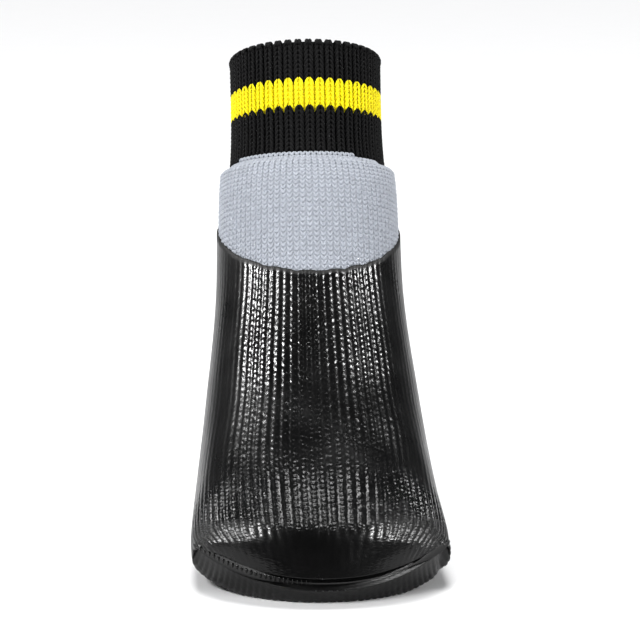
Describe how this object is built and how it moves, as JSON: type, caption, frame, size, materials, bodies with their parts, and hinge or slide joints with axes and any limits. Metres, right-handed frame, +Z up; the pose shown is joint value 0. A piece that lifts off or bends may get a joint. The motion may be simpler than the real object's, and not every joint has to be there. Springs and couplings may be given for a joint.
{
  "type": "dog sock",
  "caption": "Short knitted dog sock with a ribbed striped cuff, a plain leg and a rubber-dipped wide foot closed by a raised toe seam.",
  "frame": {"origin": "centre of the bounding box's bottom face, on the surface that the sole stands on", "axes": "+Z up, toe toward -Y, X across the paw"},
  "size_m": [0.046, 0.0867, 0.0938],
  "materials": {
    "leg_yarn": "light blue-grey plain knit, matt",
    "cuff_yarn": "near-black one by one rib knit, matt",
    "stripe_yarn": "bright yellow rib knit, matt",
    "rubber": "black dipped rubber, semi-gloss, showing the knit below"
  },
  "bodies": {
    "root": {"knit_sock": "leg_yarn", "rubber_dip": "rubber"}
  },
  "joints": []
}
